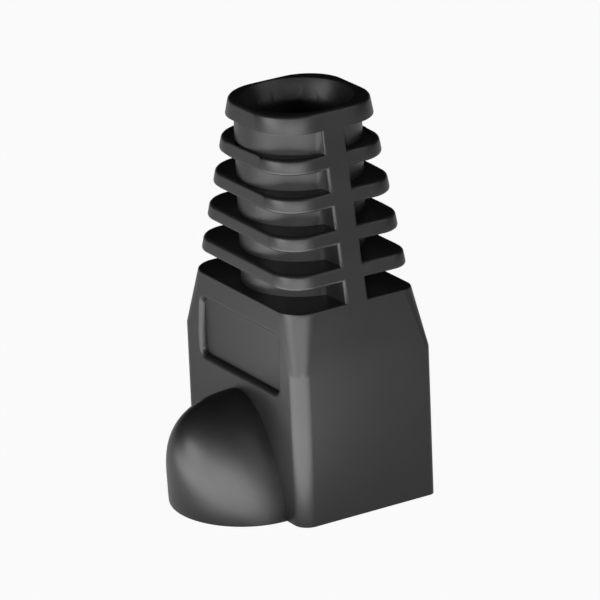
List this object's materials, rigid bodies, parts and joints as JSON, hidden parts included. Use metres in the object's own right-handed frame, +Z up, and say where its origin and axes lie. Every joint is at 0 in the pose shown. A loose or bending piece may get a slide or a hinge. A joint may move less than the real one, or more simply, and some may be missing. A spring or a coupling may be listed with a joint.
{
  "type": "rj45 strain relief boot",
  "caption": "Moulded strain relief boot for a modular network plug: plug pocket, domed latch hood, recessed label panel and a ringed, webbed tail with a flared cable bore.",
  "frame": {"origin": "in the plane of the plug mouth that the boot stands on, under the middle of the whole boot with its hood", "axes": "+Z up the cable bore, towards the way the cable leaves; +X across the plug's width; -Y towards the latch hood and label panel"},
  "size_m": [0.014, 0.0152, 0.026],
  "materials": {
    "boot": "satin black flexible plastic"
  },
  "bodies": {
    "root": {"boot": "boot"}
  },
  "joints": []
}
